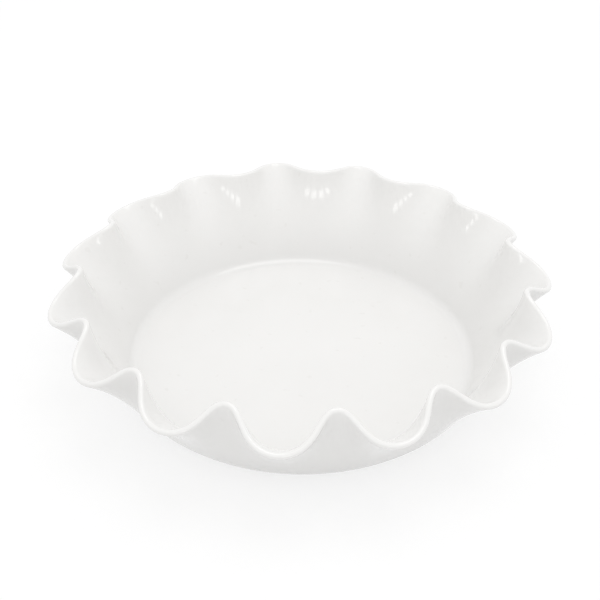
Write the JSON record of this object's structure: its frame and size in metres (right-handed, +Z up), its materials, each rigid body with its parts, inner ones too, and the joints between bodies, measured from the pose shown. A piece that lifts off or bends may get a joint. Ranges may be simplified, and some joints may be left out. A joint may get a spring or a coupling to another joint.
{
  "type": "pie dish",
  "caption": "Round pie dish with a flat floor, a sloping wall that breaks into deep ruffles and a rounded wavy rim, in off-white glazed stoneware.",
  "frame": {"origin": "centre of the foot ring, on the surface that the dish stands on", "axes": "+Z up out of the open mouth, along the dish's axis; -Y towards the front, where the ruffles hang lowest, through the crest of one outward ruffle; +X to the right seen from -Y"},
  "size_m": [0.267, 0.2658, 0.0655],
  "materials": {
    "glaze": "glossy off-white glaze over fired stoneware; bare matt clay only on the foot ring"
  },
  "bodies": {
    "root": {"pie_dish": "glaze"}
  },
  "joints": []
}
